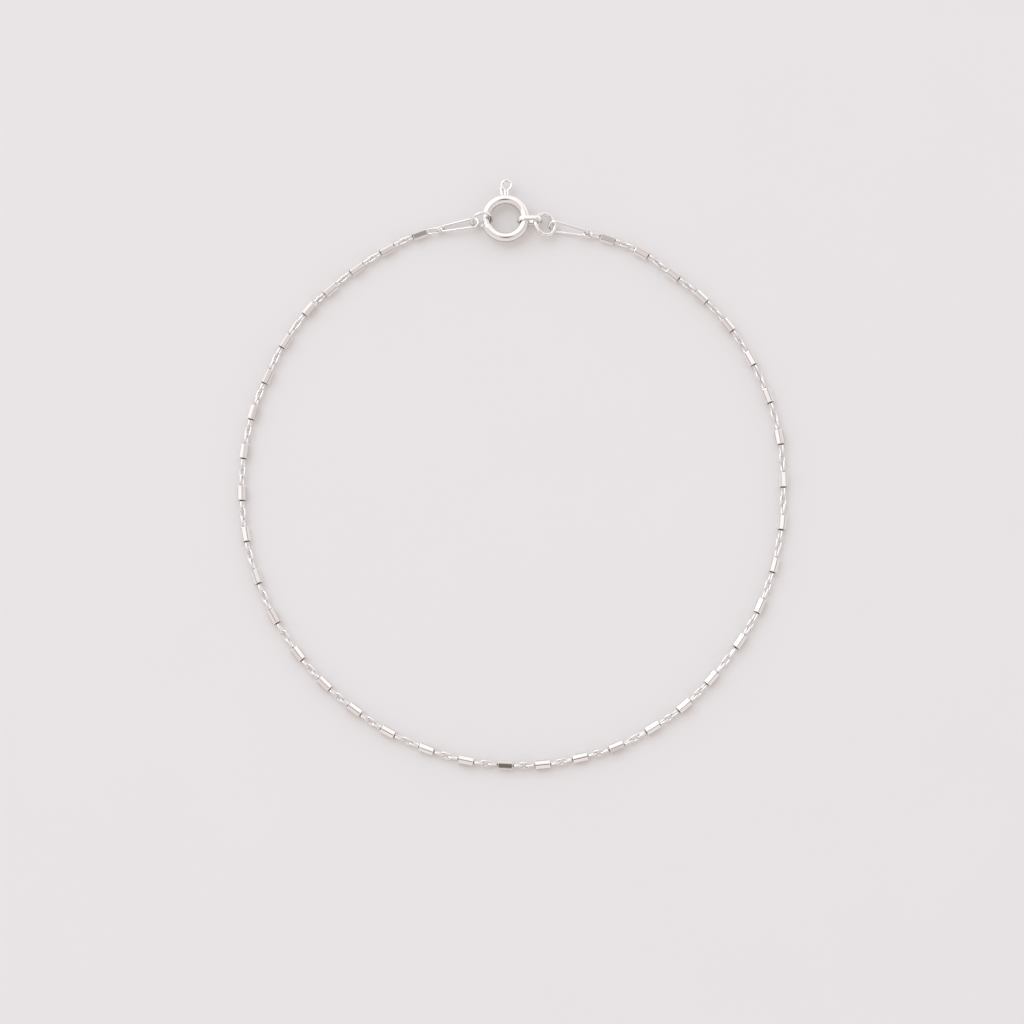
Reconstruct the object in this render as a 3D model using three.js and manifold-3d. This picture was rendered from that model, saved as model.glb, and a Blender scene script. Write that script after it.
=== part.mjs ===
// A fine silver bracelet of short six-sided bars joined by cable links. It lies on z = 0 as a round loop,
// fastened at its +Y side by a spring-ring clasp: a hollow ring with a gap, closed by a curved bolt that
// slides inside it and is drawn back by a small wire trigger. Sizes are in millimetres, angles in degrees.

import * as THREE from 'three';
import { mergeVertices } from 'three/addons/utils/BufferGeometryUtils.js';
import Module from 'manifold-3d';

const wasm = await Module();
wasm.setup();

// Chain: the middle of each bar, from the clasp's left side round the loop to its right side
const BAR_CENTRES = [
  [-9.7, 25.1], [-13.1, 23.45], [-16.25, 21.4], [-19, 19.15], [-21.15, 17.05], [-23.6, 13.65],
  [-25.45, 9.9], [-26.85, 6.1], [-27.7, 2], [-27.9, -2.4], [-27.5, -6.7], [-26.3, -11.1],
  [-24.45, -15.25], [-21.95, -19.1], [-19.2, -22.2], [-16.1, -24.85], [-12.7, -27.1], [-8.75, -28.85],
  [-4.75, -30.05], [-0.75, -30.5], [3.05, -30.45], [6.85, -29.75], [10.55, -28.65], [14.25, -26.7],
  [17.5, -24.45], [20.3, -21.6], [23.25, -17.8], [25.35, -14.15], [26.85, -9.9], [27.7, -5.45],
  [27.9, -1], [27.6, 3.5], [26.4, 7.85], [24.65, 11.8], [22.35, 15.35], [19.6, 18.35],
  [16.7, 20.75], [13.45, 23.1], [9.9, 24.6],
];
const CHAIN_WIDTH = 0.96;
const CHAIN_HEIGHT = 0.86;
const CHAIN_SIDES = 8;
const STEPS_PER_BAR = 2;
const CHAIN_TO_RING = 0.68; // from the end of the chain to the middle of its end ring

// Clasp ring, whose angles run anticlockwise from +X about its centre
const CLASP_CENTRE = [-0.76, 26.7, 0.92];
const CLASP_RADIUS = 2.05;
const TUBE_RADIUS = 0.5;
const BORE_RADIUS = 0.38;
const GAP_START = 168;
const GAP_END = 205;
const TUBE_SIDES = 12;
const ARC_STEP = 8;

// Bolt, which laps past the gap into the far end of the tube, and its trigger
const BOLT_RADIUS = 0.34;
const BOLT_LAP = 6;
const BOLT_TAIL = 76;
const TRIGGER_ANGLE = 90;
const TRIGGER_SWING = 44;
const TRIGGER_SPREAD = 14; // half the trigger's width where it passes through the wall
const SLOT_HEIGHT = 0.36;
const TRIGGER_WIRE = 0.15; // radius
const TRIGGER_LOOP = [ // from inside the bolt, out and round, and back into the bolt
  [0.2, 2.1], [0.34, 2.7], [0.5, 3.1], [0.61, 3.62], [0.44, 3.98], [0.11, 4.1],
  [-0.22, 3.97], [-0.36, 3.62], [-0.3, 3.22], [-0.16, 2.82], [-0.08, 2.1],
];
const TRIGGER_STUB = [[-0.38, 2.1], [-0.46, 3.5]]; // the wire's cut end, soldered beside the loop

// Eye, an oval band stood on edge round the clasp ring's +X side
const EYE = { at: [1.785, 26.51, 0.92], roll: 97.4, pitch: 0, yaw: 0 };
const EYE_END_RADIUS = 0.69;
const EYE_STRAIGHT = 1.1;
const EYE_THICKNESS = 0.2;
const EYE_WIDTH = 0.54;

// Wire pieces as they lie, each turned by its roll, then its pitch, then its yaw
const JUMP_RING_LEFT = { at: [-3.245, 26.5, 1.13], roll: 63.6, pitch: -19.1, yaw: 21.2 };
const CONNECTOR_LEFT = { at: [-5.525, 26, 0.592], roll: 15, pitch: 3.4, yaw: 190.5 };
const END_RING_LEFT = { at: [-7.53, 25.575, 0.546], roll: 64.5, pitch: 16.5, yaw: 15.6 };
const JUMP_RING_RIGHT = { at: [3.385, 26.045, 0.86], roll: -17.7, pitch: 1.8, yaw: -68 };
const CONNECTOR_RIGHT = { at: [5.775, 25.55, 0.71], roll: 50.5, pitch: 0.3, yaw: -12 };
const END_RING_RIGHT = { at: [7.84, 25.075, 0.6], roll: -24, pitch: 11.6, yaw: -26 };

// Sizes along the middle of the wire
const JUMP_LEFT_RADIUS = 1.05;
const JUMP_LEFT_WIRE = 0.17;
const JUMP_RIGHT_RADII = [1.145, 0.985]; // slightly oval
const JUMP_RIGHT_WIRE = 0.22;
const END_RING_RADIUS = 0.42;
const END_RING_WIRE = 0.11;
const CONNECTOR_WIRE = 0.14;
const CONNECTOR_LEFT_SIZE = { length: 3.9, wideEnd: 0.505, narrowEnd: 0.31 };
const CONNECTOR_RIGHT_SIZE = { length: 4.05, wideEnd: 0.645, narrowEnd: 0.325 };
const WIRE_SIDES = 8;
const RING_STEPS = 24;

const radians = THREE.MathUtils.degToRad;

// A polished silver surface
function silver(roughness) {
  return new THREE.MeshStandardMaterial({ color: 0xe6e3e1, metalness: 1, roughness });
}

// A named mesh, placed where it lies
function piece(name, geometry, roughness, { at, roll = 0, pitch = 0, yaw = 0 }) {
  const mesh = new THREE.Mesh(geometry, silver(roughness));
  mesh.name = name;
  mesh.position.set(...at);
  mesh.rotation.set(radians(roll), radians(pitch), radians(yaw), 'ZYX');
  return mesh;
}

// A circular arc in the XY plane about the origin
class Arc extends THREE.Curve {
  constructor(radius, start, end) {
    super();
    this.radius = radius;
    this.start = start;
    this.end = end;
  }

  getPoint(t) {
    const angle = radians(THREE.MathUtils.lerp(this.start, this.end, t));
    return new THREE.Vector3(this.radius * Math.cos(angle), this.radius * Math.sin(angle), 0);
  }
}

// A section with flat sides along a curve, with one side facing straight down
function sweep(curve, height, width, sides, steps) {
  const toCorner = 1 / Math.cos(Math.PI / sides);
  const section = new THREE.Shape();
  for (let i = 0; i < sides; i += 1) {
    const angle = ((i + 0.5) * 2 * Math.PI) / sides;
    const across = (width / 2) * toCorner * Math.sin(angle);
    const up = (height / 2) * toCorner * Math.cos(angle);
    if (i === 0) {
      section.moveTo(up, across);
    } else {
      section.lineTo(up, across);
    }
  }
  section.closePath();
  return new THREE.ExtrudeGeometry(section, { steps, extrudePath: curve });
}

// A round rod bent to an arc, inside the circle of its radius
function arcRod(start, end, rodRadius) {
  const across = 2 * rodRadius * Math.cos(Math.PI / TUBE_SIDES);
  const steps = Math.ceil(Math.abs(end - start) / ARC_STEP);
  return sweep(new Arc(CLASP_RADIUS, start, end), across, across, TUBE_SIDES, steps);
}

// A straight or smoothly bent wire through points in the XY plane
function wire(points, wireRadius, steps) {
  const curve = new THREE.CatmullRomCurve3(points.map(([x, y]) => new THREE.Vector3(x, y, 0)));
  const across = 2 * wireRadius * Math.cos(Math.PI / WIRE_SIDES);
  return sweep(curve, across, across, WIRE_SIDES, steps);
}

// A wire bent into a closed loop: a torus whose rings are moved onto the outline's points
function wireLoop(outline, wireRadius) {
  const count = outline.length;
  const loop = new THREE.TorusGeometry(1, wireRadius, WIRE_SIDES, count);
  const position = loop.attributes.position;
  for (let i = 0; i < position.count; i += 1) {
    const station = i % (count + 1) % count;
    const here = outline[station];
    const before = outline[(station + count - 1) % count];
    const after = outline[(station + 1) % count];
    const arriving = here.clone().sub(before).normalize();
    const leaving = after.clone().sub(here).normalize();
    const along = arriving.add(leaving).normalize();
    const outwards = Math.hypot(position.getX(i), position.getY(i)) - 1;
    position.setX(i, here.x + along.y * outwards);
    position.setY(i, here.y - along.x * outwards);
  }
  return loop;
}

// Points round a circle or an ellipse
function ovalOutline(radiusX, radiusY) {
  return new THREE.EllipseCurve(0, 0, radiusX, radiusY).getPoints(RING_STEPS).slice(0, RING_STEPS);
}

// Points round a long link, whose wide end is towards -X
function taperedOutline({ length, wideEnd, narrowEnd }) {
  const wideX = wideEnd - length / 2;
  const narrowX = length / 2 - narrowEnd;
  const lean = Math.PI / 2 - Math.asin((wideEnd - narrowEnd) / (narrowX - wideX));
  const path = new THREE.Path();
  path.absarc(wideX, 0, wideEnd, lean, 2 * Math.PI - lean);
  path.absarc(narrowX, 0, narrowEnd, -lean, lean);
  return path.getPoints(RING_STEPS / 4);
}

function connectorLink(size) {
  return wireLoop(taperedOutline(size), CONNECTOR_WIRE);
}

// A shape with two straight sides and two round ends
function stadium(target, straight, endRadius) {
  target.absarc(straight / 2, 0, endRadius, -Math.PI / 2, Math.PI / 2);
  target.absarc(-straight / 2, 0, endRadius, Math.PI / 2, 1.5 * Math.PI);
  target.closePath();
  return target;
}

// manifold-3d works on closed meshes with shared corners
function toSolid(geometry) {
  const bare = geometry.clone();
  bare.deleteAttribute('normal');
  bare.deleteAttribute('uv');
  const { attributes, index } = mergeVertices(bare);
  const vertProperties = attributes.position.array;
  return new wasm.Manifold(new wasm.Mesh({ numProp: 3, vertProperties, triVerts: index.array }));
}

function toGeometry(solid) {
  const mesh = solid.getMesh();
  const geometry = new THREE.BufferGeometry();
  geometry.setAttribute('position', new THREE.BufferAttribute(mesh.vertProperties, 3));
  geometry.setIndex(new THREE.BufferAttribute(mesh.triVerts, 1));
  geometry.computeVertexNormals();
  return geometry;
}

// The chain's outer form: one eight-sided run from end ring to end ring
function chain() {
  const centreHeight = CHAIN_HEIGHT / 2;
  const route = BAR_CENTRES.map(([x, y]) => new THREE.Vector3(x, y, centreHeight));
  for (const [ring, end] of [[END_RING_LEFT, 0], [END_RING_RIGHT, route.length - 1]]) {
    const ringCentre = new THREE.Vector3(ring.at[0], ring.at[1], centreHeight);
    const towardsBar = route[end].clone().sub(ringCentre).setLength(CHAIN_TO_RING);
    const stop = ringCentre.add(towardsBar);
    if (end === 0) {
      route.unshift(stop);
    } else {
      route.push(stop);
    }
  }
  const curve = new THREE.CatmullRomCurve3(route);
  return sweep(curve, CHAIN_HEIGHT, CHAIN_WIDTH, CHAIN_SIDES, STEPS_PER_BAR * BAR_CENTRES.length);
}

// The clasp's tube, open at both ends of its gap and slotted along its outer wall for the trigger
function claspBody() {
  const tube = toSolid(arcRod(GAP_END - 360, GAP_START, TUBE_RADIUS));
  const bore = toSolid(arcRod(GAP_END - 361, GAP_START + 1, BORE_RADIUS));
  const slotStart = radians(TRIGGER_ANGLE - TRIGGER_SWING - TRIGGER_SPREAD);
  const slotEnd = radians(TRIGGER_ANGLE + TRIGGER_SPREAD);
  const sector = new THREE.Shape();
  sector.absarc(0, 0, CLASP_RADIUS + 2 * TUBE_RADIUS, slotStart, slotEnd);
  sector.absarc(0, 0, CLASP_RADIUS, slotEnd, slotStart, true);
  sector.closePath();
  const slot = new THREE.ExtrudeGeometry(sector, { depth: SLOT_HEIGHT, bevelEnabled: false });
  slot.translate(0, 0, -SLOT_HEIGHT / 2);
  return toGeometry(tube.subtract(bore).subtract(toSolid(slot)));
}

// The bolt with its trigger soldered on
function claspBolt() {
  const bolt = toSolid(arcRod(BOLT_TAIL, GAP_END + BOLT_LAP, BOLT_RADIUS));
  const loop = toSolid(wire(TRIGGER_LOOP, TRIGGER_WIRE, 26));
  const stub = toSolid(wire(TRIGGER_STUB, TRIGGER_WIRE, 1));
  return toGeometry(bolt.add(loop).add(stub));
}

function claspEye() {
  const band = stadium(new THREE.Shape(), EYE_STRAIGHT, EYE_END_RADIUS + EYE_THICKNESS / 2);
  band.holes.push(stadium(new THREE.Path(), EYE_STRAIGHT, EYE_END_RADIUS - EYE_THICKNESS / 2));
  const eye = new THREE.ExtrudeGeometry(band, { depth: EYE_WIDTH, bevelEnabled: false, curveSegments: 8 });
  return eye.translate(0, 0, -EYE_WIDTH / 2);
}

const clasp = new THREE.Group();
clasp.position.set(...CLASP_CENTRE);
clasp.add(
  piece('clasp_body', claspBody(), 0.12, { at: [0, 0, 0] }),
  piece('clasp_bolt', claspBolt(), 0.14, { at: [0, 0, 0] }),
);

const leftEnd = new THREE.Group();
leftEnd.add(
  piece('end_ring_left', wireLoop(ovalOutline(END_RING_RADIUS, END_RING_RADIUS), END_RING_WIRE), 0.15, END_RING_LEFT),
  piece('connector_link_left', connectorLink(CONNECTOR_LEFT_SIZE), 0.15, CONNECTOR_LEFT),
  piece('jump_ring_left', wireLoop(ovalOutline(JUMP_LEFT_RADIUS, JUMP_LEFT_RADIUS), JUMP_LEFT_WIRE), 0.13, JUMP_RING_LEFT),
);

const rightEnd = new THREE.Group();
rightEnd.add(
  piece('end_ring_right', wireLoop(ovalOutline(END_RING_RADIUS, END_RING_RADIUS), END_RING_WIRE), 0.15, END_RING_RIGHT),
  piece('connector_link_right', connectorLink(CONNECTOR_RIGHT_SIZE), 0.15, CONNECTOR_RIGHT),
  piece('jump_ring_right', wireLoop(ovalOutline(...JUMP_RIGHT_RADII), JUMP_RIGHT_WIRE), 0.13, JUMP_RING_RIGHT),
  piece('clasp_eye', claspEye(), 0.13, EYE),
);

const bracelet = new THREE.Group();
bracelet.add(piece('chain', chain(), 0.18, { at: [0, 0, 0] }), leftEnd, clasp, rightEnd);

export default bracelet;
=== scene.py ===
import math
import random

import bmesh
import bpy
from mathutils import Matrix, Vector


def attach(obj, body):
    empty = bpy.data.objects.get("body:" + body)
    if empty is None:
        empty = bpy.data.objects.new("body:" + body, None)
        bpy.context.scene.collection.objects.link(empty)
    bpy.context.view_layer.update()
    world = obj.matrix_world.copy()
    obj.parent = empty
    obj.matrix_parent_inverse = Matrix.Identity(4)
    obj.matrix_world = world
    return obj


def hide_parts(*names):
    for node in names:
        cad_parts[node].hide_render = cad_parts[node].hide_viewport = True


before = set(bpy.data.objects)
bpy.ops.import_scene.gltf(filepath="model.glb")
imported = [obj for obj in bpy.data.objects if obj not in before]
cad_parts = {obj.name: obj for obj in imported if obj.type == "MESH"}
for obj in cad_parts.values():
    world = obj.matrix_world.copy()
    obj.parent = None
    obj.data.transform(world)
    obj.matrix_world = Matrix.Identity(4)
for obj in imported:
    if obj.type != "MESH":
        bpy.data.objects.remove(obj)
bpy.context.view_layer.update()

# ---- Camera -----------------------------------------------------------------------------------
# A long lens almost straight above the loop, leaning ten degrees towards the side away from the
# clasp.

CAMERA_TARGET = Vector((-0.00007, -0.00437, 0.00045))
CAMERA_DISTANCE = 0.35157
CAMERA_ELEVATION = math.radians(80)

lens = bpy.data.cameras.new("long lens")
lens.lens = 120
lens.sensor_width = 36
lens.clip_start = 0.01
camera = bpy.data.objects.new("camera", lens)
backwards = Vector((0, -math.cos(CAMERA_ELEVATION), math.sin(CAMERA_ELEVATION)))
camera.location = CAMERA_TARGET + backwards * CAMERA_DISTANCE
camera.rotation_euler = backwards.to_track_quat("Z", "Y").to_euler()
bpy.context.scene.collection.objects.link(camera)
bpy.context.scene.camera = camera
bpy.context.scene.view_settings.view_transform = "Standard"


# ---- Floor and light --------------------------------------------------------------------------
# A plain matt table in a warm off-white, which glows a little with painted light that lifts and
# warms the shadows on it. The ceiling is soft and white, with a dark opening nearly overhead,
# greyer to the right and faintly pink in front. One wide lamp stands at the back left.

class Socket:
    """A node's output, on which arithmetic adds Math nodes."""

    def __init__(self, nodes, output):
        self.nodes = nodes
        self.output = output

    def maths(self, operation, *others):
        return self.nodes.add("ShaderNodeMath", {"operation": operation}, [self, *others])

    def __add__(self, other):
        return self.maths("ADD", other)

    def __sub__(self, other):
        return self.maths("SUBTRACT", other)

    def __rsub__(self, other):
        return self.nodes.add("ShaderNodeMath", {"operation": "SUBTRACT"}, [other, self])

    def __mul__(self, other):
        return self.maths("MULTIPLY", other)

    __radd__ = __add__
    __rmul__ = __mul__

    def rise(self, low, high):
        """0 under low, 1 over high, and smooth between them."""
        settings = {"interpolation_type": "SMOOTHSTEP"}
        inputs = {"Value": self, "From Min": low, "From Max": high}
        return self.nodes.add("ShaderNodeMapRange", settings, inputs)


class Nodes:
    """The nodes of one material or world."""

    def __init__(self, owner):
        owner.use_nodes = True
        self.tree = owner.node_tree

    def add(self, kind, settings, inputs, output=0):
        """A new node, given its type, its settings and what its sockets hold or are linked to."""
        node = self.tree.nodes.new(kind)
        for name, value in settings.items():
            setattr(node, name, value)
        named = inputs.items() if isinstance(inputs, dict) else enumerate(inputs)
        for key, value in named:
            self.feed(node.inputs[key], value)
        return Socket(self, node.outputs[output])

    def feed(self, socket, value):
        if isinstance(value, Socket):
            self.tree.links.new(value.output, socket)
        else:
            socket.default_value = value

    def blend(self, factor, first, second):
        """A colour that goes from the first to the second as the factor goes from 0 to 1."""
        factor_socket, first_colour, second_colour, mixed_colour = 0, 6, 7, 2
        inputs = {factor_socket: factor, first_colour: first, second_colour: second}
        return self.add("ShaderNodeMix", {"data_type": "RGBA"}, inputs, output=mixed_colour)

    def noise(self, where, scale, detail):
        """A cloudy pattern from 0 to 1."""
        inputs = {"Vector": where, "Scale": scale, "Detail": detail}
        return self.add("ShaderNodeTexNoise", {}, inputs, output="Fac")

    def coordinates(self, kind):
        return self.add("ShaderNodeTexCoord", {}, {}, output=kind)

    def of(self, name):
        """The sockets of a node that the material or world already has."""
        return self.tree.nodes[name].inputs


def rgb(red, green, blue):
    return (red, green, blue, 1)


world = bpy.data.worlds.new("soft studio")
bpy.context.scene.world = world
sky = Nodes(world)
direction = sky.coordinates("Generated")
along_x = sky.add("ShaderNodeSeparateXYZ", {}, [direction], output=0)
along_y = sky.add("ShaderNodeSeparateXYZ", {}, [direction], output=1)
upwards = sky.add("ShaderNodeSeparateXYZ", {}, [direction], output=2)
leaning_right = along_x.maths("ARCTAN2", upwards)
leaning_back = along_y.maths("ARCTAN2", upwards)

WHITE_CEILING = rgb(1.045, 1.008, 0.998)
FRONT_WALL = rgb(0.75, 0.68, 0.665)
LOW_FRONT = rgb(0.86, 0.79, 0.775)
RIGHT_WALL = rgb(0.735, 0.69, 0.69)
WALL_SEAM = rgb(0.36, 0.33, 0.32)
OPENING = rgb(0.15, 0.13, 0.11)
FRONT_STARTS = math.radians(5)
FRONT_DROPS_FROM = math.radians(-15)
FRONT_SLOPE = 0.45
FRONT_SOFTNESS = 0.05
LOW_FRONT_FADES = (-1.3, -0.7)
RIGHT_STARTS = math.radians(14)
RIGHT_FADES_IN = (RIGHT_STARTS - 0.04, RIGHT_STARTS + 0.06)
RIGHT_FADES_OUT = (0.45, 0.75)
SEAM = math.radians(34)
SEAM_FADES_IN = (SEAM - 0.07, SEAM - 0.02)
SEAM_FADES_OUT = (SEAM + 0.02, SEAM + 0.07)
SEAM_ENDS = (0.3, 0.5)
OPENING_LEANS_BACK = math.radians(-18)
OPENING_LEANS_RIGHT = math.radians(2)
OPENING_ACROSS = math.radians(11)
OPENING_DEEP = math.radians(14)
OPENING_FADES = (0.6, 1.3)

drop = (leaning_right - FRONT_DROPS_FROM).maths("MINIMUM", 0.0) * FRONT_SLOPE
front_edge = leaning_back - drop - FRONT_STARTS
in_front = 1 - front_edge.rise(-FRONT_SOFTNESS, FRONT_SOFTNESS)
on_right = leaning_right.rise(*RIGHT_FADES_IN) * (1 - leaning_back.rise(*RIGHT_FADES_OUT))
front_wall = sky.blend(leaning_back.rise(*LOW_FRONT_FADES), LOW_FRONT, FRONT_WALL)
with_right = sky.blend(on_right, WHITE_CEILING, RIGHT_WALL)
with_front = sky.blend(in_front, with_right, front_wall)
along_seam = leaning_right.rise(*SEAM_FADES_IN) * (1 - leaning_right.rise(*SEAM_FADES_OUT))
seam = along_seam * (1 - leaning_back.rise(*SEAM_ENDS))
with_seam = sky.blend(seam, with_front, WALL_SEAM)
off_x = (leaning_right - OPENING_LEANS_RIGHT) * (1 / OPENING_ACROSS)
off_y = (leaning_back - OPENING_LEANS_BACK) * (1 / OPENING_DEEP)
from_opening = (off_x * off_x + off_y * off_y).maths("SQRT")
opening = 1 - from_opening.rise(*OPENING_FADES)
all_round = sky.blend(opening, with_seam, OPENING)
sky.feed(sky.of("Background")["Color"], all_round)

FLOOR_SIZE = 1.2
FLOOR_SHADE = rgb(0.686, 0.739, 0.822)
FLOOR_MOTTLE = rgb(0.673, 0.726, 0.809)
FLOOR_PAINTED_LIGHT = rgb(0.16, 0.115, 0.06)
FLOOR_ROUGHNESS = 0.6
MOTTLE_SCALE = 90.0
bpy.ops.object.select_all(action="DESELECT")
bpy.ops.mesh.primitive_plane_add(size=FLOOR_SIZE)
floor = bpy.context.object
floor.name = "floor"
table_top = bpy.data.materials.new("matt table")
paint = Nodes(table_top)
mottle = paint.noise(paint.coordinates("Object"), MOTTLE_SCALE, 4.0)
matt = paint.of("Principled BSDF")
paint.feed(matt["Base Color"], paint.blend(mottle, FLOOR_MOTTLE, FLOOR_SHADE))
paint.feed(matt["Roughness"], FLOOR_ROUGHNESS + mottle * 0.1)
paint.feed(matt["Specular IOR Level"], 0.2)
# Painted light: the table glows a little, warm, which lightens its shadows and tints them pink.
paint.feed(matt["Emission Color"], FLOOR_PAINTED_LIGHT)
paint.feed(matt["Emission Strength"], 1.0)
floor.data.materials.append(table_top)

LAMP_PLACE = Vector((-0.50, 0.55, 0.80))
LAMP_WIDTH = 0.80
LAMP_POWER = 2.0
lamp_data = bpy.data.lights.new("soft lamp", "AREA")
lamp_data.shape = "SQUARE"
lamp_data.size = LAMP_WIDTH
lamp_data.energy = LAMP_POWER
lamp = bpy.data.objects.new("soft lamp", lamp_data)
lamp.location = LAMP_PLACE
lamp.rotation_euler = LAMP_PLACE.to_track_quat("Z", "Y").to_euler()
bpy.context.scene.collection.objects.link(lamp)


# ---- Bars -------------------------------------------------------------------------------------
# Short lengths of six-sided silver rod with bright diamond-cut flats and darker ridges between
# them, sawn off square and drilled at both ends. The bores are near-black, brown old polish and
# painted shade, and the end faces round them are painted darker as shade. Each lies as it
# fell, turned a little on its own axis.

BAR_SIDES = 6
BAR_LENGTH = 0.00152
BAR_RADIUS = 0.000505
BAR_CHAMFER = 0.00007
BAR_RIDGE = 0.000055
BORE_SIDES = 18
BORE_RADIUS = 0.00029
BORE_DEPTH = 0.00035
TINY = 1e-6  # points nearer to each other than this are one point
FACES_AN_END = 0.999  # a face's normal along the bar is more than this at its ends
FACES_OUTWARDS = 0.01  # and less than this on its flats and ridges

BARS = [  # where the middle of each bar lies, and how far it is rolled, in degrees
    (-0.0097, 0.0251, -12), (-0.0131, 0.02345, -17), (-0.01625, 0.0214, -16),
    (-0.019, 0.01915, -10), (-0.02115, 0.01705, -26), (-0.0236, 0.01365, -15),
    (-0.02545, 0.0099, -12), (-0.02685, 0.0061, -22), (-0.0277, 0.002, -24),
    (-0.0279, -0.0024, 27), (-0.0275, -0.0067, 6), (-0.0263, -0.0111, -10),
    (-0.02445, -0.01525, -20), (-0.02195, -0.0191, -27), (-0.0192, -0.0222, -29),
    (-0.0161, -0.02485, -27), (-0.0127, -0.0271, -19), (-0.00875, -0.02885, -12),
    (-0.00475, -0.03005, -26), (-0.00075, -0.0305, 15), (0.00305, -0.03045, -23),
    (0.00685, -0.02975, -20), (0.01055, -0.02865, -28), (0.01425, -0.0267, -23),
    (0.0175, -0.02445, -25), (0.0203, -0.0216, -21), (0.02325, -0.0178, -23),
    (0.02535, -0.01415, -23), (0.02685, -0.0099, -10), (0.0277, -0.00545, -1),
    (0.0279, -0.001, 4), (0.0276, 0.0035, 25), (0.0264, 0.00785, -10),
    (0.02465, 0.0118, -4), (0.02235, 0.01535, -21), (0.0196, 0.01835, -22),
    (0.0167, 0.02075, -10), (0.01345, 0.0231, -10), (0.0099, 0.0246, -12),
]


def edit():
    """Edit mode on the newest object, with nothing selected in it."""
    bpy.ops.object.mode_set(mode="EDIT")
    bpy.ops.mesh.select_all(action="DESELECT")


def finish_edit():
    bpy.ops.object.mode_set(mode="OBJECT")


def pick(kind, test):
    """Selects, in edit mode, the verts, edges or faces that pass the test."""
    modes = {"verts": "VERT", "edges": "EDGE", "faces": "FACE"}
    bpy.ops.mesh.select_mode(type=modes[kind])
    bpy.ops.mesh.select_all(action="DESELECT")
    shape = bmesh.from_edit_mesh(bpy.context.object.data)
    for element in getattr(shape, kind):
        if test(element):
            element.select_set(True)
    shape.select_flush_mode()
    bmesh.update_edit_mesh(bpy.context.object.data)


def all_at(element, test):
    return all(test(vert.co) for vert in element.verts)


def silver(name, shade, flank_painted_shade, roughness, polish_scale, polish_depth):
    """Polished silver: a faint warm and cool drift, soft polishing marks, a few dull specks, and
    painted shade that darkens the flanks facing sideways.
    """
    material = bpy.data.materials.new(name)
    nodes = Nodes(material)
    where = nodes.coordinates("Object")
    drift = nodes.noise(where, 700.0, 3.0)
    marks = nodes.noise(where, polish_scale, 5.0)
    specks = marks.rise(0.66, 0.8)
    cool = rgb(shade, shade, shade * 1.005)
    warm = rgb(shade, shade * 0.982, shade * 0.968)
    clean = nodes.blend(drift.rise(0.35, 0.7), cool, warm)
    dull = rgb(shade * 0.86, shade * 0.84, shade * 0.81)
    polished = nodes.blend(specks * 0.6, clean, dull)
    facing = nodes.coordinates("Normal")
    facing_up = nodes.add("ShaderNodeSeparateXYZ", {}, [facing], output=2)
    # Painted shade: flanks that face sideways are darkened, standing in for the shaded table they
    # reflect.
    flank = 1 - facing_up.maths("ABSOLUTE").rise(0.16, 0.5)
    painted_flank_shade = rgb(flank_painted_shade, flank_painted_shade * 0.965, flank_painted_shade * 0.94)
    relief = {"Strength": 0.4, "Distance": polish_depth, "Height": marks}
    surface = nodes.of("Principled BSDF")
    nodes.feed(surface["Base Color"], nodes.blend(flank, polished, painted_flank_shade))
    nodes.feed(surface["Metallic"], 1.0)
    nodes.feed(surface["Roughness"], roughness + marks * 0.06 + specks * 0.08)
    nodes.feed(surface["Normal"], nodes.add("ShaderNodeBump", {}, relief, output="Normal"))
    return material


def dull_silver(name, darkest, lightest, roughness):
    """Silver left unpolished, unevenly brown with old polish. Where it darkens the bars' bores and
    ends, its colours also carry painted shade.
    """
    material = bpy.data.materials.new(name)
    nodes = Nodes(material)
    stain = nodes.noise(nodes.coordinates("Object"), 9000.0, 4.0)
    surface = nodes.of("Principled BSDF")
    nodes.feed(surface["Base Color"], nodes.blend(stain, darkest, lightest))
    nodes.feed(surface["Metallic"], 1.0)
    nodes.feed(surface["Roughness"], roughness + stain * 0.2)
    return material


def done(piece, name, body, node, smooth_under=32):
    """Names a finished piece, shades it and says where it belongs."""
    piece.name = name
    piece.data.name = name
    bpy.ops.object.select_all(action="DESELECT")
    piece.select_set(True)
    bpy.context.view_layer.objects.active = piece
    bpy.ops.object.shade_smooth_by_angle(angle=math.radians(smooth_under))
    bpy.ops.object.modifier_add(type="WEIGHTED_NORMAL")
    piece.modifiers[-1].keep_sharp = True
    piece.modifiers[-1].thresh = 0
    bpy.ops.object.modifier_apply(modifier=piece.modifiers[-1].name)
    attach(piece, body)
    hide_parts(node)


QUARTER_TURN = math.pi / 2
LYING = (0, QUARTER_TURN, 0)
half_bar = BAR_LENGTH / 2
bpy.ops.object.select_all(action="DESELECT")
bpy.ops.mesh.primitive_cylinder_add(
    vertices=BAR_SIDES, radius=BAR_RADIUS, depth=BAR_LENGTH, rotation=LYING
)
bar = bpy.context.object
bpy.ops.object.transform_apply(location=False, rotation=True, scale=False)
edit()
pick("edges", lambda e: all_at(e, lambda co: co.x > half_bar - TINY)
     or all_at(e, lambda co: co.x < TINY - half_bar))
bpy.ops.mesh.bevel(offset=BAR_CHAMFER, segments=2, profile=0.5)
pick("edges", lambda e: abs(e.verts[0].co.x - e.verts[1].co.x) > half_bar)
bpy.ops.mesh.bevel(offset=BAR_RIDGE, segments=1)
pick("faces", lambda f: abs(f.normal.x) > FACES_AN_END)
bpy.ops.mesh.delete(type="ONLY_FACE")
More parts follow.
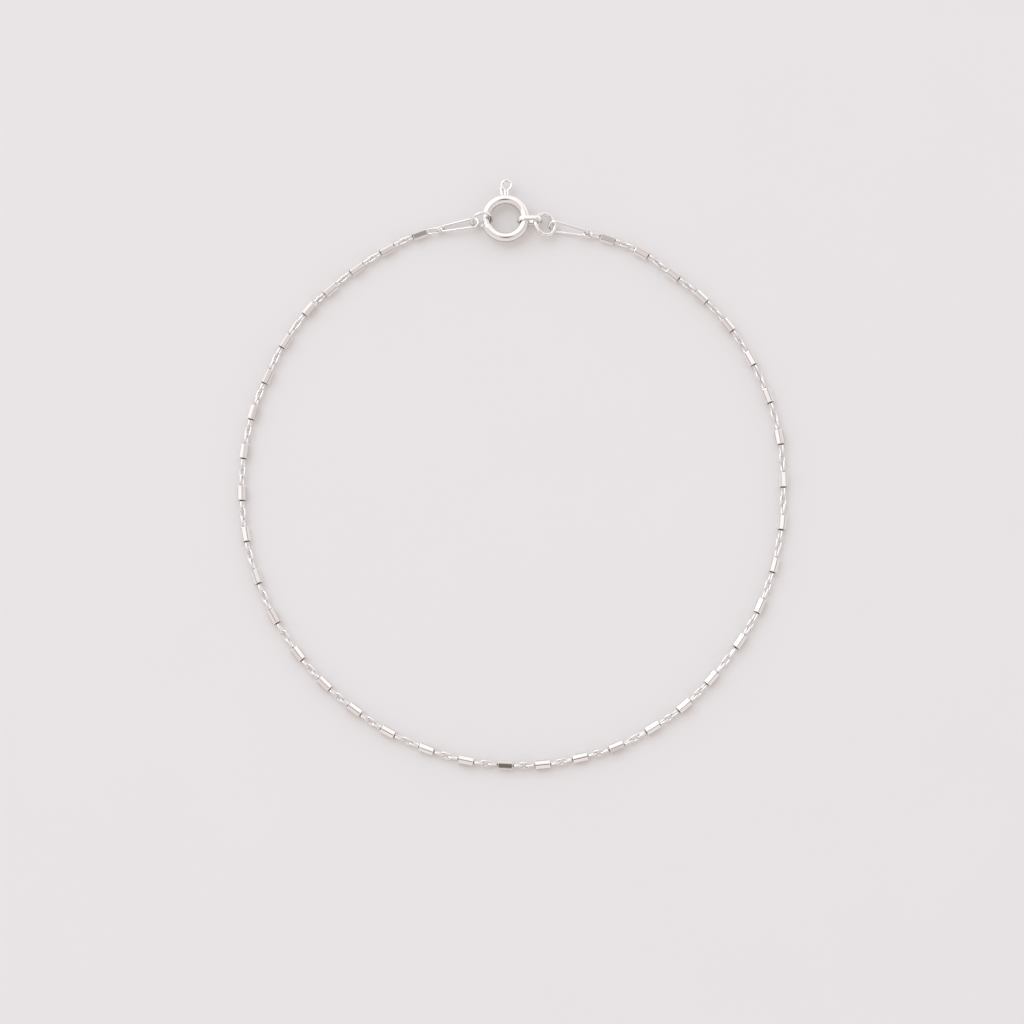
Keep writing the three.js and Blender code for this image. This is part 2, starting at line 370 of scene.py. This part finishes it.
for end in (-1, 1):  # a flat rim round the bore's mouth, then the bore's wall and its floor
    mouth = (end * half_bar, 0, 0)
    bpy.ops.mesh.select_all(action="DESELECT")
    bpy.ops.mesh.primitive_circle_add(
        vertices=BORE_SIDES, radius=BORE_RADIUS, location=mouth, rotation=LYING
    )
    pick("edges", lambda e: all_at(e, lambda co: abs(co.x - mouth[0]) < TINY)
         and len(e.link_faces) < 2)
    bpy.ops.mesh.fill(use_beauty=True)
    pick("edges", lambda e: e.is_boundary and all_at(e, lambda co: abs(co.x - mouth[0]) < TINY))
    bpy.ops.mesh.extrude_edges_move(TRANSFORM_OT_translate={"value": (-end * BORE_DEPTH, 0, 0)})
    bpy.ops.mesh.edge_face_add()
bpy.ops.mesh.select_all(action="SELECT")
bpy.ops.mesh.normals_make_consistent(inside=False)
finish_edit()

FLAT, BORE, SHADED_END, RIDGE = range(4)
RIDGE_LARGEST = BAR_LENGTH * BAR_RADIUS / 3
BAR_FINISHES = [
    silver("diamond-cut silver", shade=0.95, flank_painted_shade=0.95, roughness=0.07,
           polish_scale=4200.0, polish_depth=0.0000012),
    # Painted shade: the bores are old-polish brown darkened to near-black for the shade in the
    # holes, and the end faces are painted darker for the shade at the links' roots.
    dull_silver("bore silver", rgb(0.08, 0.068, 0.06), rgb(0.22, 0.185, 0.16), 0.45),
    dull_silver("painted end shade silver", rgb(0.25, 0.225, 0.205), rgb(0.42, 0.385, 0.36), 0.30),
    dull_silver("ridge silver", rgb(0.46, 0.43, 0.41), rgb(0.60, 0.565, 0.54), 0.12),
]
for finish in BAR_FINISHES:
    bar.data.materials.append(finish)
for face in bar.data.polygons:
    from_axis = max(bar.data.vertices[v].co.yz.length for v in face.vertices)
    if from_axis < BORE_RADIUS + TINY:
        face.material_index = BORE
    # The end faces round the bores take the painted end shade.
    elif abs(face.center.x) > half_bar - TINY:
        face.material_index = SHADED_END
    elif abs(face.normal.x) < FACES_OUTWARDS and face.area < RIDGE_LARGEST:
        face.material_index = RIDGE
    else:
        face.material_index = FLAT

bar_shape = bar.data
route = [Vector((x, y, 0)) for x, y, _ in BARS]
LEFT_RING = Vector((-0.00753, 0.025575, 0.000546))
RIGHT_RING = Vector((0.00784, 0.025075, 0.0006))
ON_TABLE = Vector((1, 1, 0))
with_ends = [LEFT_RING * ON_TABLE, *route, RIGHT_RING * ON_TABLE]
headings = [(after - before).normalized() for before, after in zip(with_ends, with_ends[2:])]


def resting_height(roll):
    """How high the middle of a rolled bar is when its lowest corner rests on the table."""
    turn = Matrix.Rotation(math.radians(roll), 3, "X")
    return -min((turn @ vert.co).z for vert in bar_shape.vertices)


def laid(centre, heading, roll):
    """Turns a piece made along X to its heading, rolled by so many degrees, at its centre."""
    yaw = Matrix.Rotation(math.atan2(heading.y, heading.x), 4, "Z")
    pitch = Matrix.Rotation(-math.asin(heading.normalized().z), 4, "Y")
    return Matrix.Translation(centre) @ yaw @ pitch @ Matrix.Rotation(math.radians(roll), 4, "X")


def pose(at, roll, pitch, yaw):
    """Where a piece made about the origin lies: turned by three angles in degrees, then moved."""
    turned = Matrix.Rotation(math.radians(yaw), 4, "Z")
    pitched = Matrix.Rotation(math.radians(pitch), 4, "Y")
    rolled = Matrix.Rotation(math.radians(roll), 4, "X")
    return Matrix.Translation(at) @ (turned @ pitched) @ rolled


def joined(master, placings):
    """One mesh of a copy of the master at each placing."""
    copies = []
    for placing in placings:
        copy = bpy.data.objects.new(master.name, master.data.copy())
        copy.data.transform(placing)
        bpy.context.scene.collection.objects.link(copy)
        copies.append(copy)
    bpy.data.objects.remove(master)
    bpy.ops.object.select_all(action="DESELECT")
    for copy in copies:
        copy.select_set(True)
    bpy.context.view_layer.objects.active = copies[0]
    bpy.ops.object.join()
    return bpy.context.object


bar_placings = []
for centre, heading, (_, _, roll) in zip(route, headings, BARS):
    bar_placings.append(laid(centre + Vector((0, 0, resting_height(roll))), heading, roll))
bars = joined(bar, bar_placings)
done(bars, "bars", "bracelet", "chain", smooth_under=25)


# ---- Cable links ------------------------------------------------------------------------------
# Three small oval links of round silver wire join each bar to the next. The outer two stand on
# edge with one end in the mouth of a bar's bore, and the middle one hooks the two together and
# lies nearly flat.

LINK_WIRE = 0.00011
LINK_END = 0.00026
LINK_STRAIGHT = 0.00060
LINK_OUTER = LINK_STRAIGHT + 2 * (LINK_END + LINK_WIRE)
LINK_SIDES = 8
LINK_SEAT = 0.00008
LINK_LAP = 4 * LINK_WIRE + 0.00008
LAPS_IN_SHORT_GAP = 4.4  # more than 4, so that the outer two links never meet
FRONT_OF_LOOP = -0.0285
FRONT_TILT = (14, 20)
LINK_TILT = (22, 30)
LINK_TWIST = 4


def point_on(arc, angle):
    x, y, radius = arc[:3]
    return Vector((x + radius * math.cos(angle), y + radius * math.sin(angle), 0))


def start_section(across, upright, sides, centre, heading):
    """A new object that holds one oval section, square to the heading, open for editing."""
    bpy.ops.object.select_all(action="DESELECT")
    turned = (QUARTER_TURN, 0, heading - QUARTER_TURN)
    bpy.ops.mesh.primitive_circle_add(vertices=sides, radius=1, location=centre, rotation=turned)
    piece = bpy.context.object
    piece.scale = (across, upright, 1)
    bpy.ops.object.transform_apply(location=True, rotation=True, scale=True)
    edit()
    bpy.ops.mesh.select_all(action="SELECT")
    return piece


def run_straight(start, end):
    bpy.ops.mesh.extrude_edges_move(TRANSFORM_OT_translate={"value": end - start})


def run_round(arc, steps):
    """Spins the selected section along an arc of x, y, radius, start and end angle."""
    x, y, _, start, end = arc
    bpy.ops.mesh.spin(steps=steps, angle=start - end, center=(x, y, 0), axis=(0, 0, 1))


def closed_wire(across, upright, arcs, sides, steps):
    """A wire bent round the arcs in turn, straight between them, and soldered into a ring."""
    start = arcs[0][3]
    soldered_at = point_on(arcs[0], start)
    piece = start_section(across, upright, sides, soldered_at, start + QUARTER_TURN)
    for arc, following in zip(arcs, [*arcs[1:], arcs[0]]):
        run_round(arc, steps)
        here = point_on(arc, arc[4])
        there = point_on(following, following[3])
        if (there - here).length > TINY:
            run_straight(here, there)
    bpy.ops.mesh.select_all(action="SELECT")
    bpy.ops.mesh.remove_doubles(threshold=TINY)
    bpy.ops.mesh.normals_make_consistent(inside=False)
    finish_edit()
    return piece


def long_loop(straight, end_radius):
    """The arcs of a link with two straight sides."""
    return [
        (straight / 2, 0, end_radius, -QUARTER_TURN, QUARTER_TURN),
        (-straight / 2, 0, end_radius, QUARTER_TURN, 3 * QUARTER_TURN),
    ]


link_arcs = long_loop(LINK_STRAIGHT, LINK_END)
link = closed_wire(LINK_WIRE, LINK_WIRE, link_arcs, sides=LINK_SIDES, steps=5)
link_silver = silver("link wire silver", shade=0.95, flank_painted_shade=0.6, roughness=0.10,
                     polish_scale=5200.0, polish_depth=0.0000015)
link.data.materials.append(link_silver)


def stretched(length, usual):
    """Lengthens a link, made once at its usual outer length, to another."""
    return Matrix.Diagonal((length / usual, 1, 1, 1))


def middle_of(one, other):
    return (one + other) / 2


# Three links span a gap. The outer two are seated in the bores and lap the middle one, and a hook
# is the middle of a lap.
rng = random.Random(39)
link_placings = []
for first, second in zip(range(len(route)), range(1, len(route))):
    leave = route[first] + headings[first] * half_bar
    arrive = route[second] - headings[second] * half_bar
    gap = (arrive - leave).length
    across = (arrive - leave).normalized()
    lap = min(LINK_LAP, (gap + 2 * LINK_SEAT) / LAPS_IN_SHORT_GAP)
    length = (gap + 2 * LINK_SEAT + 2 * lap) / 3
    reach = length / 2 - LINK_SEAT
    at_front = middle_of(leave, arrive).y < FRONT_OF_LOOP
    tilt = rng.uniform(*FRONT_TILT) if at_front else rng.uniform(*LINK_TILT)
    near_height = Vector((0, 0, resting_height(BARS[first][2])))
    far_height = Vector((0, 0, resting_height(BARS[second][2])))
    near_heading = (across + headings[first]).normalized()
    far_heading = (across + headings[second]).normalized()
    near = leave + near_heading * reach + near_height
    far = arrive - far_heading * reach + far_height
    near_hook = near + near_heading * (length - lap) / 2
    far_hook = far - far_heading * (length - lap) / 2
    run = far_hook - near_hook
    on_edge = tilt - 90
    twisted = on_edge + rng.uniform(-LINK_TWIST, LINK_TWIST)
    outer_length = stretched(length, LINK_OUTER)
    middle_length = stretched(run.length + lap, LINK_OUTER)
    link_placings.append(laid(near, near_heading, on_edge) @ outer_length)
    link_placings.append(laid(middle_of(near_hook, far_hook), run, tilt) @ middle_length)
    link_placings.append(laid(far, far_heading, twisted) @ outer_length)
links = joined(link, link_placings)
done(links, "cable_links", "bracelet", "chain", smooth_under=60)


# ---- End links --------------------------------------------------------------------------------
# One wider link at each end of the chain, seated in the mouth of the last bar's bore and hooked
# through the end ring.

END_LINK_WIRE = 0.0001
END_LINK_END = 0.00033
END_LINK_STRAIGHT = 0.00062
END_LINK_OUTER = END_LINK_STRAIGHT + 2 * (END_LINK_END + END_LINK_WIRE)
END_LINK_SEAT = 0.00004
HOOK_FROM_CENTRE = 0.00014
LEFT_RING_POSE = pose(LEFT_RING, roll=64.5, pitch=16.5, yaw=15.6)
RIGHT_RING_POSE = pose(RIGHT_RING, roll=-24, pitch=11.6, yaw=-26)


def hooked(bar, outwards, ring_pose, hook_angle, roll):
    """Where the link lies from the end of the first or last bar, hooked through its end ring."""
    end = route[bar] + headings[bar] * half_bar * outwards
    height = Vector((0, 0, resting_height(BARS[bar][2])))
    seat = end - headings[bar] * END_LINK_SEAT * outwards + height
    angle = math.radians(hook_angle)
    in_ring = Vector((HOOK_FROM_CENTRE * math.cos(angle), HOOK_FROM_CENTRE * math.sin(angle), 0))
    run = ring_pose @ in_ring - seat
    length = run.length + END_LINK_WIRE
    centre = seat + run.normalized() * length / 2
    return laid(centre, run, roll) @ stretched(length, END_LINK_OUTER)


end_link_arcs = long_loop(END_LINK_STRAIGHT, END_LINK_END)
end_link = closed_wire(END_LINK_WIRE, END_LINK_WIRE, end_link_arcs, sides=LINK_SIDES, steps=7)
end_link.data.materials.append(link_silver)
end_links = joined(end_link, [
    hooked(0, -1, LEFT_RING_POSE, hook_angle=200, roll=156),
    hooked(-1, 1, RIGHT_RING_POSE, hook_angle=10, roll=108),
])
done(end_links, "end_links", "bracelet", "chain", smooth_under=60)


# ---- End rings --------------------------------------------------------------------------------
# The smallest round rings, one at each end of the chain, bent from fine wire and closed with
# solder.

END_RING_RADIUS = 0.00042
END_RING_WIRE = 0.00011
FULL_TURN = 2 * math.pi


def place_in(piece, placing):
    """Moves a piece made about the origin to where it lies."""
    piece.data.transform(placing)


wire_silver = silver("drawn wire silver", shade=0.94, flank_painted_shade=0.5, roughness=0.09,
                     polish_scale=5000.0, polish_depth=0.0000015)
end_ring_arcs = [(0, 0, END_RING_RADIUS, 0, FULL_TURN)]
for name, node, placing in (
    ("left_end_ring", "end_ring_left", LEFT_RING_POSE),
    ("right_end_ring", "end_ring_right", RIGHT_RING_POSE),
):
    ring = closed_wire(END_RING_WIRE, END_RING_WIRE, end_ring_arcs, sides=16, steps=48)
    place_in(ring, placing)
    ring.data.materials.append(wire_silver)
    done(ring, name, "bracelet", node)


# ---- Connector links --------------------------------------------------------------------------
# A long link of round wire at each end, narrow where it holds the end ring and wide where the
# jump ring passes through it. The wire is bent round two pins and soldered along one side.

CONNECTOR_WIRE = 0.00014


def tapered_loop(length, wide_end, narrow_end):
    """The two arcs of a long link whose wide end is towards -X."""
    wide_x = wide_end - length / 2
    narrow_x = length / 2 - narrow_end
    lean = math.acos((wide_end - narrow_end) / (narrow_x - wide_x))
    return [(wide_x, 0, wide_end, lean, FULL_TURN - lean), (narrow_x, 0, narrow_end, -lean, lean)]


CONNECTORS = [  # the piece, its node, its length, the radius at each end, and where it lies
    ("left_connector_link", "connector_link_left", 0.0039, 0.000505, 0.00031,
     pose((-0.005525, 0.026, 0.000592), roll=15, pitch=3.4, yaw=190.5)),
    ("right_connector_link", "connector_link_right", 0.00405, 0.000645, 0.000325,
     pose((0.005775, 0.02555, 0.00071), roll=50.5, pitch=0.3, yaw=-12)),
]
for name, node, length, wide_end, narrow_end, placing in CONNECTORS:
    arcs = tapered_loop(length, wide_end, narrow_end)
    connector = closed_wire(CONNECTOR_WIRE, CONNECTOR_WIRE, arcs, sides=20, steps=28)
    place_in(connector, placing)
    connector.data.materials.append(wire_silver)
    done(connector, name, "bracelet", node)


# ---- Jump rings -------------------------------------------------------------------------------
# Rings of heavier round wire. The left one hangs on the clasp's bolt and the right one, pulled a
# little oval, in the clasp's eye.

jump_silver = silver("jump ring silver", shade=0.95, flank_painted_shade=0.45, roughness=0.08,
                     polish_scale=4600.0, polish_depth=0.0000015)
JUMP_RINGS = [  # the piece, its node, its wire's radius, the arcs it follows, and where it lies
    ("left_jump_ring", "jump_ring_left", 0.00017, [(0, 0, 0.00105, 0, FULL_TURN)],
     pose((-0.003245, 0.0265, 0.00113), roll=63.6, pitch=-19.1, yaw=21.2)),
    ("right_jump_ring", "jump_ring_right", 0.00022, long_loop(0.00032, 0.000985),
     pose((0.003385, 0.026045, 0.00086), roll=-17.7, pitch=1.8, yaw=-68)),
]
STEPS_ROUND_RING = 96
for name, node, wire, arcs, placing in JUMP_RINGS:
    ring = closed_wire(wire, wire, arcs, sides=24, steps=STEPS_ROUND_RING // len(arcs))
    place_in(ring, placing)
    ring.data.materials.append(jump_silver)
    done(ring, name, "bracelet", node)


# ---- Clasp eye --------------------------------------------------------------------------------
# An oval of flattened wire stood on edge, closed round the clasp's tube, with the right jump ring
# in its free end.

clasp_silver = silver("high polish silver", shade=0.96, flank_painted_shade=0.45, roughness=0.06,
                      polish_scale=3600.0, polish_depth=0.000001)
EYE_THICKNESS = 0.00021
EYE_WIDTH = 0.00054
EYE_STRAIGHT = 0.0011
EYE_END = 0.00069
eye_arcs = long_loop(EYE_STRAIGHT, EYE_END)
eye = closed_wire(EYE_THICKNESS / 2, EYE_WIDTH / 2, eye_arcs, sides=24, steps=32)
place_in(eye, pose((0.001785, 0.02651, 0.00092), roll=84, pitch=0, yaw=0))
eye.data.materials.append(clasp_silver)
done(eye, "oval_eye", "bracelet", "clasp_eye")


# ---- Spring ring tube -------------------------------------------------------------------------
# A thin-walled tube bent into a ring and left open at the left for the bolt, with a slot sawn
# along its outer wall where the trigger slides. It is polished outside and dull in its bore.

CLASP_CENTRE = Vector((-0.00076, 0.0267, 0.00092))
CLASP_RADIUS = 0.00205
TUBE_RADIUS = 0.0005
TUBE_WALL = 0.00012
GAP_START = math.radians(168)
GAP_END = math.radians(205)
SLOT_START = math.radians(32)
SLOT_END = math.radians(104)
SLOT_HEIGHT = 0.00036
TUBE_RIM = 0.00003

TUBE_START = GAP_END - FULL_TURN
tube_arc = (0, 0, CLASP_RADIUS, TUBE_START, GAP_START)
tube_mouth = point_on(tube_arc, TUBE_START)
tube = start_section(TUBE_RADIUS, TUBE_RADIUS, 40, tube_mouth, TUBE_START + QUARTER_TURN)
run_round(tube_arc, steps=108)


def cut_across(point, normal, test):
    """Cuts the faces that pass the test along a plane, and leaves them whole on both sides."""
    pick("faces", test)
    bpy.ops.mesh.bisect(plane_co=point, plane_no=normal, threshold=TINY / 100)


def on_outer_wall(face):
    return face.calc_center_median().xy.length > CLASP_RADIUS


for side in (-1, 1):
    cut_across((0, 0, side * SLOT_HEIGHT / 2), (0, 0, 1), on_outer_wall)
for angle in (SLOT_START, SLOT_END):
    across_tube = (-math.sin(angle), math.cos(angle), 0)
    towards = Vector((math.cos(angle), math.sin(angle), 0))
    cut_across((0, 0, 0), across_tube, lambda f: on_outer_wall(f)
               and f.calc_center_median().dot(towards) > CLASP_RADIUS)


def in_slot(face):
    middle = face.calc_center_median()
    in_height = abs(middle.z) < SLOT_HEIGHT / 2
    in_length = SLOT_START < math.atan2(middle.y, middle.x) < SLOT_END
    return on_outer_wall(face) and in_height and in_length


pick("faces", in_slot)
bpy.ops.mesh.delete(type="FACE")
bpy.ops.mesh.select_all(action="SELECT")
bpy.ops.mesh.remove_doubles(threshold=TINY / 10)
bpy.ops.mesh.normals_make_consistent(inside=False)
finish_edit()
bpy.ops.object.modifier_add(type="SOLIDIFY")
wall = tube.modifiers[-1]
wall.thickness = TUBE_WALL
wall.offset = -1
wall.use_even_offset = True
bpy.ops.object.modifier_apply(modifier=wall.name)
bpy.ops.object.modifier_add(type="BEVEL")
rims = tube.modifiers[-1]
rims.width = TUBE_RIM
rims.segments = 2
rims.limit_method = "ANGLE"
rims.angle_limit = math.radians(60)
bpy.ops.object.modifier_apply(modifier=rims.name)
tube.data.materials.append(clasp_silver)
tube.data.materials.append(
    dull_silver("tube bore silver", rgb(0.50, 0.46, 0.43), rgb(0.68, 0.63, 0.60), 0.45)
)
POLISHED, DULL = range(2)
BORE_LIES_WITHIN = TUBE_RADIUS - TUBE_WALL * 0.9
for face in tube.data.polygons:
    from_middle = math.hypot(face.center.xy.length - CLASP_RADIUS, face.center.z)
    face.material_index = DULL if from_middle < BORE_LIES_WITHIN else POLISHED
place_in(tube, Matrix.Translation(CLASP_CENTRE))
done(tube, "spring_ring_tube", "bracelet", "clasp_body")


# ---- Bolt and trigger -------------------------------------------------------------------------
# A curved rod that slides in the tube and closes its gap. A loop of wire on a narrow neck is
# soldered to its back, to draw it by, and the wire's cut end stands beside the neck.

BOLT_RADIUS = 0.00034
BOLT_TAIL = math.radians(76)
BOLT_TIP = GAP_END + math.radians(6)
BOLT_ROUNDING = 0.00009
TRIGGER_WIRE = 0.00014
LOOP_CENTRE = (0.00012, 0.00357)
LOOP_RADIUS = 0.00051
LEG_APART = 0.000145
LEG_STARTS = 0.0021
SHOULDER_RADIUS = 0.0002
CUT_END_FOOT = (-0.00034, 0.0021)
CUT_END_TOP = (-0.0005, 0.00332)
WIRE_SIDES = 20

bolt_arc = (0, 0, CLASP_RADIUS, BOLT_TAIL, BOLT_TIP)
tail = point_on(bolt_arc, BOLT_TAIL)
bolt = start_section(BOLT_RADIUS, BOLT_RADIUS, 32, tail, BOLT_TAIL + QUARTER_TURN)
run_round(bolt_arc, steps=45)


def close_rod(rounding):
    """Closes the two open ends of a rod and rounds their edges."""
    pick("edges", lambda e: e.is_boundary)
    bpy.ops.mesh.fill_holes(sides=0)
    pick("faces", lambda f: len(f.verts) > 4)
    bpy.ops.mesh.region_to_loop()
    bpy.ops.mesh.bevel(offset=rounding, segments=3, profile=0.5)
    bpy.ops.mesh.select_all(action="SELECT")
    bpy.ops.mesh.normals_make_consistent(inside=False)
    finish_edit()


close_rod(BOLT_ROUNDING)

loop_x, loop_y = LOOP_CENTRE
shoulder_x = LEG_APART + SHOULDER_RADIUS
shoulder_drop = math.sqrt((LOOP_RADIUS + SHOULDER_RADIUS) ** 2 - shoulder_x ** 2)
shoulder_y = loop_y - shoulder_drop
spread = math.atan2(shoulder_drop, shoulder_x)
right_foot = Vector((loop_x + LEG_APART, LEG_STARTS, 0))
right_shoulder = Vector((loop_x + LEG_APART, shoulder_y, 0))
left_foot = Vector((loop_x - LEG_APART, LEG_STARTS, 0))
left_shoulder = Vector((loop_x - LEG_APART, shoulder_y, 0))
trigger = start_section(TRIGGER_WIRE, TRIGGER_WIRE, WIRE_SIDES, right_foot, QUARTER_TURN)
run_straight(right_foot, right_shoulder)
run_round((loop_x + shoulder_x, shoulder_y, SHOULDER_RADIUS, math.pi, math.pi - spread), 8)
run_round((loop_x, loop_y, LOOP_RADIUS, -spread, math.pi + spread), 32)
run_round((loop_x - shoulder_x, shoulder_y, SHOULDER_RADIUS, spread, 0), 8)
run_straight(left_shoulder, left_foot)
close_rod(TRIGGER_WIRE * 0.2)

foot = Vector((*CUT_END_FOOT, 0))
top = Vector((*CUT_END_TOP, 0))
stub_heading = math.atan2(top.y - foot.y, top.x - foot.x)
stub = start_section(TRIGGER_WIRE, TRIGGER_WIRE, WIRE_SIDES, foot, stub_heading)
run_straight(foot, top)
close_rod(TRIGGER_WIRE * 0.3)

for part in (trigger, stub):
    bpy.ops.object.select_all(action="DESELECT")
    bpy.context.view_layer.objects.active = bolt
    bpy.ops.object.modifier_add(type="BOOLEAN")
    solder = bolt.modifiers[-1]
    solder.operation = "UNION"
    solder.solver = "EXACT"
    solder.object = part
    bpy.ops.object.modifier_apply(modifier=solder.name)
    bpy.data.objects.remove(part)
place_in(bolt, Matrix.Translation(CLASP_CENTRE))
bolt.data.materials.append(clasp_silver)
done(bolt, "sliding_bolt", "bolt", "clasp_bolt")
